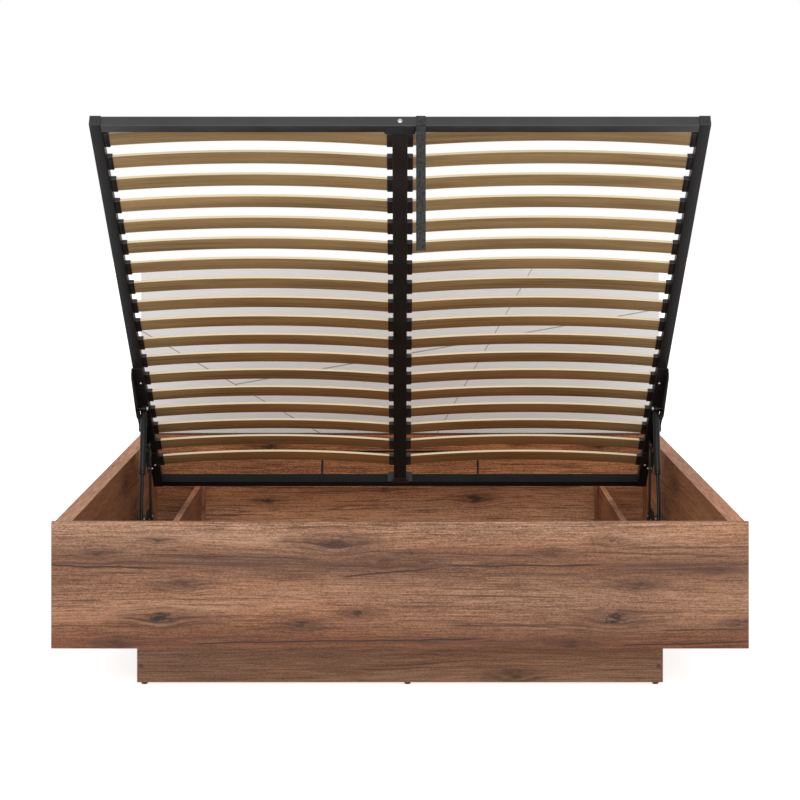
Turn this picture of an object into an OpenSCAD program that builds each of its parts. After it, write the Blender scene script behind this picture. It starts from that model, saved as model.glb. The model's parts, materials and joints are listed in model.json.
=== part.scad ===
// Low platform bed with a storage box under a lifting slatted base.
// The base is drawn raised, as it stands when the storage is open.
// X runs across the bed, Y from the foot to the headboard, Z is up.

/* [Mattress base] */
// Width of the steel frame
frame_width = 1608; // [1400:2:1700]
// Length of the steel frame
frame_length = 1980; // [1950:5:2040]
// Outer size of the square steel tube
tube = 30; // [28:1:34]
// Wall of the steel tube
tube_wall = 2; // [1.5:0.5:3]
// Width of the beam down the middle
beam_width = 40; // [36:2:50]
// How far a plastic cap stands out of a tube end
cap_proud = 3.5; // [2:0.5:5]
// Width of the plates that the beam is fixed with
saddle_w = 80; // [66:2:100]
// Length of the plate under the beam's foot end
saddle_length = 24; // [20:1:40]
// Diameter of the dome bolts that hold the beam
beam_bolt_d = 8; // [6:1:10]
// Diameter of the dome of those bolts
beam_bolt_head_d = 13; // [12:0.5:18]

/* [Slats] */
// Number of slats on each side of the beam
slat_count = 18; // [12:1:18]
// Width of a slat
slat_width = 53; // [48:1:60]
// Thickness of a slat
slat_thickness = 8; // [7:0.5:9]
// How far the middle of a slat is sprung up
slat_rise = 17; // [10:1:20]
// Distance from the foot end of the frame to the middle of the first slat
slat_foot_margin = 80.5; // [72:0.5:100]
// Distance from the head end of the frame to the middle of the last slat
slat_head_margin = 155; // [75:0.5:200]
// Height of a slat's end over the underside of the frame
slat_seat = 12; // [11:0.5:15]
// How far a plastic holder reaches past each edge of its slat
holder_side = 3; // [2:0.5:5]
// Wall of a holder over and under its slat
holder_wall = 2; // [1.5:0.5:3]
// How far a holder stands out from a side tube
holder_reach = 15; // [10:0.5:18]
// How far a holder stands out from the middle beam
beam_reach = 14.5; // [10:0.5:16]
// How deep a slat end sits in its holder
slat_grip = 8; // [6:0.5:9]

/* [Lift] */
// Angle of the raised base
lift_angle = 35.4; // [34.8:0.1:35.8]
// How far the head end comes forward as the base rises
head_travel = 399; // [386:1:400]
// How far the head end rises
head_rise = 49; // [46:1:54]
// Rear link: distance of its frame pivot from the head end
rear_link_s = 312; // [305:1:320]
// Rear link: depth of its frame pivot below the frame
rear_link_h = 20; // [19:0.5:24]
// Front link: distance of its frame pivot from the head end
front_link_s = 462; // [456:1:470]
// Front link: depth of its frame pivot below the frame
front_link_h = 40; // [38:1:42]
// Gas spring: distance of its frame pivot from the head end
spring_s = 562; // [556:1:570]
// Gas spring: depth of its frame pivot below the frame
spring_h = 30; // [28:1:34]
// Height of the rear link's base pivot over the storage floor
rear_pivot_over_floor = 31; // [29:1:36]
// Height of the front link's base pivot over the storage floor
front_pivot_over_floor = 26; // [25:1:30]
// Height of the gas spring's base pivot over the storage floor
spring_pivot_over_floor = 31; // [29:1:36]
// Distance of the gas spring's base pivot from the front face
spring_base_y = 1030; // [1020:2:1080]
// Diameter of the pivot pins
pin_d = 10; // [8:0.5:11]
// Gap all round a pin that a link turns on
pin_play = 0.05; // [0.03:0.01:0.08]
// Thickness of the flat links
link_t = 4; // [3:0.5:4.5]
// Width of the flat front links
link_w = 20; // [18:1:22]
// Width of the flat rear links
rear_link_w = 32; // [20:1:34]
// Thickness of the bracket steel
plate_t = 3; // [2.5:0.25:3.5]
// How far the frame bracket runs from the rear link towards the head end
bracket_tail = 172; // [150:2:190]
// How far the frame bracket runs from the gas spring towards the foot end
bracket_nose = 192; // [150:2:230]
// Depth of the frame bracket's flange at its front part
bracket_depth = 52; // [50:1:60]
// How far the base bracket runs from the rear link towards the head end
base_tail = 222; // [200:2:240]
// Diameter of the gas spring's cylinder
cylinder_d = 20; // [18:0.5:21]
// Length of the gas spring's cylinder
cylinder_length = 189; // [160:1:200]
// Diameter of the gas spring's rod
rod_d = 9; // [8:0.5:10]
// How far the raised rod still sits in the cylinder
rod_inside = 30; // [20:1:40]

/* [Box] */
// Thickness of the foot board
front_t = 18; // [16:1:20]
// Thickness of the side walls
side_t = 44; // [38:1:50]
// Thickness of the wall at the head end
rear_t = 40; // [36:1:44]
// Height of the box walls
box_height = 327; // [320:1:360]
// How far the foot board reaches past each side wall
board_overhang = 8; // [4:1:12]
// Room between the steel frame and a side wall
side_room = 44; // [44:1:54]
// Room between the lowered frame and the foot board
foot_room = 22; // [20:1:26]
// Room between the lowered frame and the wall at the head
head_room = 10; // [9:1:14]
// Thickness of the inner boards and of the floor
board_t = 18; // [16:1:18]
// Thickness of the storage floor panels
floor_t = 16; // [12:1:16]
// Depth of the inner boards' top below the top of the box
inner_drop = 174; // [170:1:180]
// Radius on the foot board's top edge
edge_r = 2; // [1:0.5:3]

/* [Plinth] */
// How far the plinth stays in from each end of the foot board
plinth_end_inset = 200; // [192:2:260]
// How far the plinth stands back from the foot board
plinth_inset = 195; // [150:5:260]
// Height of the plinth
plinth_height = 129; // [110:1:160]
// Height of the black glides
glide_h = 6; // [4:1:8]
// Diameter of a glide where it meets the plinth
glide_d = 21; // [18:1:24]
// How far the middle board is off the centre line
middle_shift = 20; // [0:1:24]
// Diameter of the screw caps
screw_cap_d = 12; // [10:1:15]
// Section of the upright battens in the rear corners
batten = 13; // [11:1:16]

/* [Headboard] */
// Height of the headboard over the top of the box
head_over = 570; // [400:10:700]
// Thickness of the headboard
head_t = 26; // [22:1:32]
// How far each end of the headboard stays in from the foot board's end
head_inset = 5; // [4:1:12]
// Where the two wide grooves meet: distance from the middle line
groove_meet_x = 570; // [400:10:700]
// Where they meet: height over the top of the box
groove_meet_z = 167; // [120:1:240]
// Where the thin groove leaves the top edge: distance from the middle line
groove_thin_x = 458; // [300:10:700]
// Width of the grooves in the headboard
groove_w = 3.5; // [3:0.5:6]
// Depth of the grooves
groove_d = 2.5; // [1.5:0.5:4]

/* [Strap and stop] */
// Width of the pull strap
strap_w = 25; // [20:1:30]
// Thickness of the webbing
strap_t = 2.4; // [1.6:0.2:2.6]
// Length of the strap that hangs down
strap_length = 322; // [280:2:330]
// Distance of the strap's middle from the centre line
strap_x = 54; // [54:1:80]
// Diameter of the mattress stop's rod
stop_d = 7; // [6:0.5:8]
// Distance between the legs of the mattress stop
stop_span = 508; // [400:2:600]
// Height of the mattress stop over the frame
stop_h = 80; // [60:5:140]

/* [Hidden] */
$fn = 48;
fine = 360;

floor_gap = glide_h + plinth_height;
rim = floor_gap + box_height;
floor_top = floor_gap + floor_t;
inner_top = rim - inner_drop;

box_in = frame_width/2 + side_room;
side_out = box_in + side_t;
bed_half = side_out + board_overhang;
foot_in = front_t;
head_in = foot_in + foot_room + frame_length + head_room;
box_length = head_in + rear_t;
bed_length = box_length + head_t;
mid_y = bed_length/2;
part_out = bed_half - plinth_end_inset;
part_in = part_out - board_t;
head_half = bed_half - head_inset;
head_top = rim + head_over;

// the lowered and the raised place of the frame's lower head corner
rest_gap = 0.3;
low_y = head_in - head_room;
low_z = inner_top + rest_gap;
up_y = low_y - head_travel;
up_z = low_z + head_rise;

// a frame point as [y, z]: s from the head end, h below the underside
function on_frame(s, h, y, z, a) =
    [y - s*cos(a) - h*sin(a), z + s*sin(a) - h*cos(a)];
function raised(s, h) = on_frame(s, h, up_y, up_z, lift_angle);
function lowered(s, h) = on_frame(s, h, low_y, low_z, 0);
// the fixed pivot at height z from which both points are equally far
function fixed_pivot(p, q, z) =
    let (m = (p + q)/2, d = q - p) [m.x - d.y*(z - m.y)/d.x, z];

rear_b = raised(rear_link_s, rear_link_h);
front_a = raised(front_link_s, front_link_h);
spring_g = raised(spring_s, spring_h);
rear_c = fixed_pivot(rear_b, lowered(rear_link_s, rear_link_h),
    floor_top + rear_pivot_over_floor);
front_d = fixed_pivot(front_a, lowered(front_link_s, front_link_h),
    floor_top + front_pivot_over_floor);
spring_e = [spring_base_y, floor_top + spring_pivot_over_floor];

// layers across the bed, as distances from the middle plane
half = frame_width/2;
flange_in = half + 0.5;
flange_out = flange_in + plate_t;
link_out = flange_in - 1;
link_in = link_out - link_t;
base_in = flange_out + 1;
base_out = base_in + plate_t;
fork_out = link_in - 2.5;
fork_in = fork_out - 2.5;
spring_x = half - cylinder_d/2 - 10;
rear_out = link_in - 8;
rear_in = rear_out - link_t - 1;
head_d = pin_d + 6;
head_h = 4;
lug_r = pin_d/2 + 8;
eye_r = link_w/2 + 2;
flange_h = 36;
spring_len = norm(spring_g - spring_e);
spring_tilt = atan2(spring_g.x - spring_e.x, spring_g.y - spring_e.y);
open_play = 0.6;

// bracket stretches, from the head end of the frame
tail_s = rear_link_s - bracket_tail;
nose_s = spring_s + bracket_nose;
shoe_s = spring_s - 52;
slat_pitch = (frame_length - slat_foot_margin - slat_head_margin)
    /max(1, slat_count - 1);
holder_length = slat_width + 2*holder_side;
holder_play = 0.2;

wood = [0.55, 0.38, 0.29];
wood2 = [0.45, 0.3, 0.23];
pale = [0.87, 0.86, 0.84];
steel = [0.16, 0.16, 0.17];
zinc = [0.8, 0.8, 0.82];
plastic = [0.08, 0.08, 0.08];
birch = [0.86, 0.72, 0.5];

// box coordinates: y from the front face, z from the floor
module in_box() translate([0, -mid_y, 0]) children();
// frame coordinates: y = -s from the head end, z from the underside
module in_frame()
    in_box() translate([0, up_y, up_z]) rotate([-lift_angle, 0, 0]) children();
// both sides, or only the left one or the right one
module side(k) scale([1, 1, 1]) if (k > 0) children(); else mirror([1, 0, 0]) children();
// a flat shape drawn in [y, z], from x0 to x1
module plate(x0, x1) translate([x0, 0, 0]) rotate([90, 0, 90])
    linear_extrude(height = x1 - x0) children();
// a round bar along X at [y, z]
module xrod(p, d, x0, x1) translate([x0, p.x, p.y]) rotate([0, 90, 0])
    cylinder(d = d, h = x1 - x0);
// a block given by its two corners
module block(a, b) translate(a) cube(b - a);
// a flat bar with round ends from p to q
module bar_shape(p, q, w, r) {
    a = atan2(q.y - p.y, q.x - p.x);
    translate(p) rotate(a) translate([0, -w/2]) square([norm(q - p), w]);
    translate(p) circle(r = r);
    translate(q) circle(r = r);
}
// a pan head that stands h out of a plate's face at x0, along +X or -X
module pan(p, d, x0, h) translate([x0, p.x, p.y])
    rotate([0, h > 0 ? 90 : -90, 0]) cylinder(d1 = d, d2 = d*0.7, h = abs(h));

// ---- box ----

// foot board, its top edge slightly rounded
module front_board() color(wood) in_box()
    difference() {
        block([-bed_half, 0, floor_gap], [bed_half, front_t, rim]);
        translate([-bed_half - 1, 0, rim]) rotate([90, 0, 90])
            linear_extrude(height = 2*bed_half + 2) difference() {
                translate([-1, -edge_r]) square([edge_r + 1, edge_r + 1]);
                translate([edge_r, -edge_r]) circle(r = edge_r);
            }
    }

module side_wall(k) color(wood2) in_box() side(k)
    block([box_in, foot_in, floor_gap], [side_out, box_length, rim]);
module side_wall_left() side_wall(-1);
module side_wall_right() side_wall(1);

module rear_board() color(wood2) in_box()
    block([-box_in, head_in, floor_gap], [box_in, box_length, rim]);

// groove line across the headboard through [x, z] at an angle; it ends
// a little below the top of the box
module groove(x, z, a, l0, l1, w) intersection() {
    block([-head_half - 5, box_length - 5, rim - 200],
        [head_half + 5, box_length + groove_d, head_top + 5]);
    translate([x, box_length + groove_d, z]) rotate([90, -a, 0])
        translate([l0, -w/2, -1]) cube([l1 - l0, w, groove_d + 2]);
}

// headboard behind the box, with straight grooves milled in its face
module headboard() color(pale) in_box()
    difference() {
        block([-head_half, box_length, floor_gap],
            [head_half, bed_length, head_top]);
        groove(-groove_meet_x, rim + groove_meet_z, -29.8,
            -2*head_half, 2*head_half, groove_w);
        groove(-groove_meet_x, rim + groove_meet_z, 10.1,
            -1, 2*head_half, groove_w);
        groove(groove_thin_x, head_top, 60,
            -2*head_over, head_over, groove_w*0.75);
    }

module plinth_front() color(wood) in_box()
    difference() {
        block([-part_out, plinth_inset, glide_h],
            [part_out, plinth_inset + board_t, floor_gap]);
        for (k = [-1, 1]) translate([k*(part_out - board_t/2 - 2),
            plinth_inset - 1, cap_z]) rotate([-90, 0, 0])
            cylinder(d = screw_cap_d - 4, h = board_t/2 + 1);
    }
cap_z = glide_h + plinth_height/3;

module plinth_rear() color(wood2) in_box()
    block([-part_in, head_in - 160, glide_h],
        [part_in, head_in - 160 + board_t, floor_gap]);

// long inner board: plinth side below, storage partition above
module inner_board(k) color(wood2) in_box() side(k) union() {
    block([part_in, plinth_inset + board_t, glide_h],
        [part_out, head_in, inner_top]);
    block([part_in, foot_in, floor_gap],
        [part_out, plinth_inset + board_t, inner_top]);
}
module inner_board_left() inner_board(-1);
module inner_board_right() inner_board(1);

module middle_board() color(wood2) in_box()
    block([middle_shift - board_t/2, plinth_inset + board_t, glide_h],
        [middle_shift + board_t/2, head_in - 160, floor_gap]);

module floor_panel(x0, x1) color(wood) in_box()
    block([x0, foot_in, floor_gap], [x1, head_in, floor_top]);
module floor_left() floor_panel(-part_in, middle_shift);
module floor_right() floor_panel(middle_shift, part_in);
module side_floor_left() floor_panel(-box_in, -part_out);
module side_floor_right() floor_panel(part_out, box_in);

module corner_battens() color(wood2) in_box() for (k = [-1, 1]) side(k) {
    block([part_in - batten, head_in - batten, floor_top],
        [part_in, head_in, inner_top]);
    block([box_in - batten, head_in - batten, floor_top],
        [box_in, head_in, inner_top + 10]);
}

// oval-looking caps over the screws that hold the plinth front
module screw_caps() color([0.33, 0.2, 0.13]) in_box()
    for (k = [-1, 1]) translate([k*(part_out - board_t/2 - 2),
        plinth_inset, cap_z]) rotate([90, 0, 0]) {
        cylinder(d = screw_cap_d, h = 1.2);
        translate([0, 0, -5]) cylinder(d = screw_cap_d - 4, h = 5);
    }

glide_x = part_out - board_t/2 - 10;
module glides() color(plastic) in_box()
    for (x = [-glide_x, middle_shift, glide_x],
        y = [plinth_inset + glide_d/2 + 1, (plinth_inset + head_in)/2 - 60,
            head_in - 160 + board_t/2])
        translate([abs(x) == glide_x && y > plinth_inset + 60
            ? sign(x)*(part_in + board_t/2) : x, y, 0])
            cylinder(d1 = glide_d - 6, d2 = glide_d, h = glide_h);

// ---- lift, fixed to the box ----

// folded bracket on a side wall: wall leg, foot, upright plate, front fork
base_z = floor_top + 6;
fork_y0 = spring_e.x - 25;
fork_y1 = front_d.x + 34;
base_y1 = rear_c.x + base_tail;
wall_y1 = base_y1 + 100;
module base_outline() polygon([[fork_y0, base_z], [base_y1, base_z],
    [base_y1 + 28, rim - 230], [base_y1 - 10, rim - 206],
    [rear_c.x + 132, rim - 183], [rear_c.x + 50, rim - 183],
    [rear_c.x - 50, rim - 240], [fork_y1, front_d.y + 22],
    [fork_y0, front_d.y + 22]]);
module base_bracket(k) color(steel) in_box() side(k) difference() {
    union() {
        plate(base_in, base_out) base_outline();
        block([fork_in, fork_y0, base_z], [box_in, fork_y1, base_z + plate_t]);
        block([fork_in, fork_y0, base_z],
            [fork_out, fork_y1, front_d.y + 22]);
        block([base_in, fork_y0, base_z], [box_in, wall_y1, base_z + plate_t]);
        block([box_in - plate_t, fork_y0, base_z],
            [box_in, wall_y1, rim - 232]);
    }
    xrod(rear_c, pin_d, base_in - 1, base_out + 1);
    for (y = wall_screws) xrod([y, rim - 245], 5, box_in - plate_t - 1,
        box_in + 1);
}
wall_screws = [fork_y0 + 30, rear_c.x - 90, rear_c.x + 110, wall_y1 - 20];
module base_bracket_left() base_bracket(-1);
module base_bracket_right() base_bracket(1);

// pins and studs that stay with the box
module base_pins() color(zinc) in_box() for (k = [-1, 1]) side(k) {
    // rear link pin, its collar and its head
    xrod(rear_c, pin_d, rear_in - head_h, base_out);
    difference() {
        xrod(rear_c, pin_d + 4, rear_out + 0.5, base_in);
        xrod(rear_c, pin_d, rear_out, base_in + 1);
    }
    pan(rear_c, head_d, rear_in - 0.4, -head_h);
    // front link: a bolt head on each face of the fork
    xrod(front_d, head_d, base_out, base_out + head_h);
    xrod(front_d, head_d - 2, fork_in - 3, fork_in);
    // gas spring stud
    xrod(spring_e, pin_d, spring_x + 6 + open_play, fork_in);
}

// screws on the brackets that stay with the box
module base_screws() color(zinc) in_box() for (k = [-1, 1]) side(k) {
    for (y = wall_screws) {
        pan([y, rim - 245], 10, box_in - plate_t, -3);
        xrod([y, rim - 245], 5, box_in - plate_t, box_in);
    }
    for (p = [[rear_c.x + 131, rim - 222], [base_y1 - 8, rim - 222],
        [rear_c.x + 150, rim - 236]])
        pan(p, 9, base_in, -2.6);
}

// ---- lifting frame ----

// hollow square tube along one axis
module tube_y(l) difference() {
    cube([tube, l, tube]);
    translate([tube_wall, -1, tube_wall])
        cube([tube - 2*tube_wall, l + 2, tube - 2*tube_wall]);
}
module tube_x(w, l, h) difference() {
    cube([l, w, h]);
    translate([-1, tube_wall, tube_wall])
        cube([l + 2, w - 2*tube_wall, h - 2*tube_wall]);
}

module side_tube(k) color(steel) in_frame() side(k)
    translate([half - tube, -frame_length, 0]) tube_y(frame_length);
module side_tube_left() side_tube(-1);
module side_tube_right() side_tube(1);

cross_half = half - tube;
module foot_tube() color(steel) in_frame() difference() {
    translate([-cross_half, -frame_length, 0])
        tube_x(tube, 2*cross_half, tube);
    translate([0, -frame_length - 1, tube/2]) rotate([-90, 0, 0])
        cylinder(d = beam_bolt_d, h = tube + 2);
}
module head_tube() color(steel) in_frame() difference() {
    translate([-cross_half, -tube, 0]) tube_x(tube, 2*cross_half, tube);
    translate([0, -tube - 1, tube/2]) rotate([-90, 0, 0])
        cylinder(d = beam_bolt_d, h = tube + 2);
}
module centre_beam() color(steel) in_frame() difference() {
    translate([-beam_width/2, tube - frame_length, 0])
        cube([beam_width, frame_length - 2*tube - saddle_t, tube]);
    translate([tube_wall - beam_width/2, 2*tube - frame_length, tube_wall])
        cube([beam_width - 2*tube_wall, frame_length - 4*tube - saddle_t,
            tube - 2*tube_wall]);
    for (y = [-frame_length, -2*tube]) translate([0, y - 1, tube/2])
        rotate([-90, 0, 0]) cylinder(d = beam_bolt_d, h = 2*tube + 2);
}

// plates that join the beam to the cross tubes: a flat one under its foot
// end, and at its head end one on the tube's face with a foot below the beam
saddle_t = 3;
saddle_cut = 4;
module saddle_plates() color(steel) in_frame() {
    w = saddle_w/2;
    translate([0, -frame_length + 9, -saddle_t])
        linear_extrude(height = saddle_t) polygon([[-w + saddle_cut, 0],
            [w - saddle_cut, 0], [w, saddle_cut], [w, saddle_length],
            [-w, saddle_length], [-w, saddle_cut]]);
    difference() {
        translate([0, -tube, 0]) rotate([90, 0, 0])
            linear_extrude(height = saddle_t) polygon([[-w, 1],
                [w, 1], [w, tube + 2], [w - saddle_cut, tube + 6],
                [-w + saddle_cut, tube + 6], [-w, tube + 2]]);
        translate([0, -tube - saddle_t - 1, tube/2]) rotate([-90, 0, 0])
            cylinder(d = beam_bolt_d, h = saddle_t + 2);
    }
    // welded foot below the beam
    translate([0, -tube - saddle_t, -1.5])
        linear_extrude(height = 1.5) polygon([[-w + 12, 0],
            [-beam_width/2 + 1, -saddle_length], [beam_width/2 - 1,
            -saddle_length], [w - 12, 0], [w - 12, saddle_t + 6],
            [-w + 12, saddle_t + 6]]);
}

module tube_caps() color(plastic) in_frame() for (k = [-1, 1]) side(k) {
    for (f = [0, 1]) translate([half - tube, f ? 0 : -frame_length, 0])
        mirror([0, f ? 1 : 0, 0]) {
            translate([0, -cap_proud, 0]) cube([tube, cap_proud, tube]);
            translate([tube_wall, 0, tube_wall])
                cube([tube - 2*tube_wall, 18, tube - 2*tube_wall]);
        }
}

// dome-headed bolts through the cross tubes into the beam
module beam_bolts() color(zinc) in_frame() for (f = [0, 1])
    translate([0, f ? 0 : -frame_length, tube/2])
        rotate([f ? 90 : -90, 0, 0]) {
            cylinder(d = beam_bolt_d, h = 2*tube - 4);
            translate([0, 0, -0.8]) cylinder(d = beam_bolt_head_d + 4, h = 0.8);
            translate([0, 0, -3.4])
                cylinder(d1 = beam_bolt_head_d*0.6, d2 = beam_bolt_head_d,
                    h = 2.6);
        }

function slat_y(i) = -slat_head_margin - i*slat_pitch;
slat_x0 = beam_width/2 + beam_reach - slat_grip;
slat_x1 = half - tube - holder_reach + slat_grip;
slat_mid = (slat_x0 + slat_x1)/2;
slat_half = (slat_x1 - slat_x0)/2;
slat_r = (slat_half*slat_half + slat_rise*slat_rise)/(2*slat_rise);

// sprung birch slat, drawn as a slice of a flat ring
module slat() translate([slat_mid, slat_width/2, slat_seat])
    rotate([90, 0, 0]) linear_extrude(height = slat_width) intersection() {
        translate([0, slat_rise - slat_r]) difference() {
            circle(r = slat_r + slat_thickness, $fn = fine*2);
            circle(r = slat_r, $fn = fine*2);
        }
        translate([-slat_half, -5])
            square([2*slat_half, slat_rise + slat_thickness + 10]);
    }
module slats(k) color(birch) in_frame() side(k)
    for (i = [0:slat_count - 1]) translate([0, slat_y(i), 0]) slat();
module slats_left() slats(-1);
module slats_right() slats(1);

// holder with a pocket for a slat end; it reaches along +X
module holder(reach) difference() {
    translate([0, -holder_length/2, slat_seat - holder_wall - holder_play])
        cube([reach, holder_length,
            slat_thickness + 1 + 2*holder_wall + 2*holder_play]);
    translate([reach - slat_grip - holder_play,
        -slat_width/2 - holder_play, slat_seat - holder_play])
        cube([slat_grip + 1, slat_width + 2*holder_play,
            slat_thickness + 1 + 2*holder_play]);
}
module side_holders() color(plastic) in_frame() for (k = [-1, 1]) side(k)
    for (i = [0:slat_count - 1]) translate([half - tube, slat_y(i), 0])
        mirror([1, 0, 0]) holder(holder_reach);
module centre_holders() color(plastic) in_frame() for (k = [-1, 1]) side(k)
    for (i = [0:slat_count - 1]) translate([beam_width/2, slat_y(i), 0])
        holder(beam_reach);

// bent rod that keeps the mattress in place, welded to the head tube's face
module mattress_stop() color(steel) in_frame()
    translate([0, -tube - stop_d/2, 0]) {
    r = 20;
    for (k = [-1, 1]) side(k) {
        translate([stop_span/2, 0, -2])
            cylinder(d = stop_d, h = tube + stop_h + 2 - r);
        translate([stop_span/2 - r, 0, tube + stop_h - r])
            rotate([90, 0, 0]) rotate_extrude(angle = 90)
                translate([r, 0]) circle(d = stop_d);
    }
    translate([-stop_span/2 + r, 0, tube + stop_h]) rotate([0, 90, 0])
        cylinder(d = stop_d, h = stop_span - 2*r);
}

// ---- lift, fixed to the frame ----

function loc(s, h) = [-s, -h];
// angle under a side tube: two shoes and a hanging flange with a lug
module frame_bracket(k) color(steel) in_frame() side(k) difference() {
    union() {
        block([half - tube + 1, -nose_s, -plate_t],
            [flange_out, -shoe_s, 0]);
        block([half - tube + 1, -tail_s - 90, -plate_t],
            [flange_out, -tail_s, 0]);
        plate(flange_in, flange_out) {
            polygon([[-nose_s, 0], [-nose_s, -20], [-nose_s + 10, -30],
                [-spring_s - 12, -bracket_depth],
                [-spring_s + 12, -bracket_depth], [-shoe_s, -flange_h - 4],
                [-rear_link_s, -flange_h], [-tail_s - 20, -flange_h],
                [-tail_s, -flange_h + 12], [-tail_s, 0]]);
            translate(loc(front_link_s, front_link_h)) circle(r = lug_r);
        }
    }
    for (p = [loc(rear_link_s, rear_link_h), loc(front_link_s, front_link_h),
        loc(spring_s, spring_h)])
        xrod(p, pin_d, flange_in - 1, flange_out + 1);
}
module frame_bracket_left() frame_bracket(-1);
module frame_bracket_right() frame_bracket(1);

// collar on a pin between a link and its bracket
module collar(p, x0, x1) difference() {
    xrod(p, pin_d + 4, x0, x1);
    xrod(p, pin_d, x0 - 1, x1 + 1);
}
module frame_pins() color(zinc) in_frame() for (k = [-1, 1]) side(k) {
    b = loc(rear_link_s, rear_link_h);
    a = loc(front_link_s, front_link_h);
    g = loc(spring_s, spring_h);
    xrod(b, pin_d, rear_in - head_h, flange_out);
    collar(b, rear_out + 0.5, flange_in);
    pan(b, head_d, rear_in - 0.4, -head_h);
    xrod(a, pin_d, link_in - 3, flange_out);
    pan(a, head_d, link_in - 0.4, -3);
    xrod(g, pin_d, spring_x - 12, flange_out);
    collar(g, spring_x + 6.5, flange_in);
    pan(g, head_d, spring_x - 6.4, -5.6);
}

// small screws that hold the shoes to the tube, and a cross bolt with its
// nut through the tail of each flange
module frame_screws() color(zinc) in_frame() for (k = [-1, 1]) side(k) {
    for (y = [-nose_s + 85, -tail_s - 10])
        translate([half - tube/2 - 2, y, -plate_t])
            mirror([0, 0, 1]) cylinder(d1 = 9, d2 = 6.5, h = 2.4);
    tail = loc(tail_s + 34, flange_h - 8);
    difference() {
        xrod(tail, 13, flange_in - 6, flange_in);
        xrod(tail, 7, flange_in - 7, flange_in + 1);
    }
    xrod(tail, 7, flange_in - 14, flange_in);
}

// ---- links ----

module rear_link(k, play) color(steel) in_box() side(k)
    plate(rear_in, rear_out) difference() {
        bar_shape(rear_c, rear_b, rear_link_w, rear_link_w/2);
        translate(rear_c) circle(d = pin_d + 2*pin_play);
        translate(rear_b) circle(d = pin_d + 2*play);
    }
module rear_link_left() rear_link(-1, pin_play);
module rear_link_right() rear_link(1, open_play);

// front link; its lower boss stands in the fork without touching it
module front_link(k) color(steel) in_box() side(k) {
    plate(link_in, link_out) difference() {
        bar_shape(front_d, front_a, link_w, eye_r);
        translate(front_a) circle(d = pin_d + 2*pin_play);
    }
    xrod(front_d, pin_d + 4, fork_out + open_play, link_in);
    xrod(front_d, pin_d + 4, link_out, base_in - open_play);
}
module front_link_left() front_link(-1);
module front_link_right() front_link(1);

// along the gas spring: 0 at its frame pivot, down is positive
module on_spring(k) in_box() side(k)
    translate([spring_x, spring_g.x, spring_g.y])
        rotate([-spring_tilt, 0, 0]) children();

module gas_cylinder(k) color([0.2, 0.2, 0.21]) on_spring(k) difference() {
    union() {
        rotate([0, 90, 0]) translate([0, 0, -6]) cylinder(r = lug_r - 3, h = 12);
        translate([0, 0, -20]) cylinder(d = 12, h = 14);
        translate([0, 0, -12 - cylinder_length])
            cylinder(d = cylinder_d, h = cylinder_length);
    }
    rotate([0, 90, 0]) translate([0, 0, -7])
        cylinder(d = pin_d + 2*pin_play, h = 14);
    translate([0, 0, -13 - cylinder_length])
        cylinder(d = rod_d + 0.1, h = cylinder_length - 12);
}
module gas_cylinder_left() gas_cylinder(-1);
module gas_cylinder_right() gas_cylinder(1);

// rod with a round end block beside the fork's stud
module gas_rod(k) color(zinc) on_spring(k) {
    top = -12 - cylinder_length + rod_inside;
    translate([0, 0, -spring_len + 5])
        cylinder(d = rod_d, h = top + spring_len - 5);
    translate([-6, 0, -spring_len]) rotate([0, 90, 0])
        cylinder(r = lug_r - 3, h = 12);
}
module gas_rod_left() gas_rod(-1);
module gas_rod_right() gas_rod(1);

// ---- pull strap ----

// webbing loop around the foot tube
module strap_loop() color([0.2, 0.2, 0.22]) in_frame()
    translate([strap_x - strap_w/2, -frame_length, 0]) difference() {
        translate([0, -strap_t, -strap_t])
            cube([strap_w, tube + 2*strap_t, tube + 2*strap_t]);
        translate([-1, 0, 0]) cube([strap_w + 2, tube, tube]);
    }

// the hanging part, doubled at its lower end
strap_p = on_frame(frame_length + strap_t, strap_t, up_y, up_z, lift_angle);
module pull_strap() color([0.2, 0.2, 0.22]) in_box()
    translate([strap_x - strap_w/2, strap_p.x - strap_t - rest_gap,
        strap_p.y - strap_length - rest_gap]) {
        cube([strap_w, strap_t, strap_length]);
        translate([0, strap_t, 0]) cube([strap_w, strap_t, 48]);
    }

front_board();
side_wall_left();
side_wall_right();
rear_board();
headboard();
plinth_front();
plinth_rear();
inner_board_left();
inner_board_right();
middle_board();
floor_left();
floor_right();
side_floor_left();
side_floor_right();
corner_battens();
screw_caps();
glides();
base_bracket_left();
base_bracket_right();
base_pins();
base_screws();
side_tube_left();
side_tube_right();
foot_tube();
head_tube();
centre_beam();
saddle_plates();
tube_caps();
beam_bolts();
slats_left();
slats_right();
side_holders();
centre_holders();
mattress_stop();
frame_bracket_left();
frame_bracket_right();
frame_pins();
frame_screws();
rear_link_left();
rear_link_right();
front_link_left();
front_link_right();
gas_cylinder_left();
gas_cylinder_right();
gas_rod_left();
gas_rod_right();
strap_loop();
pull_strap();
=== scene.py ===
"""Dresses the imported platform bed: board faces, slatted steel base, lift and stage.

Every length is in metres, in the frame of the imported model: X across the bed, Y from the foot to
the headboard, Z up. Pieces on the slatted base are worked out flat, as (x, s, w): s from the
base's head end towards its foot end, w up from its underside, and are then laid on its slope.
"""

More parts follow.
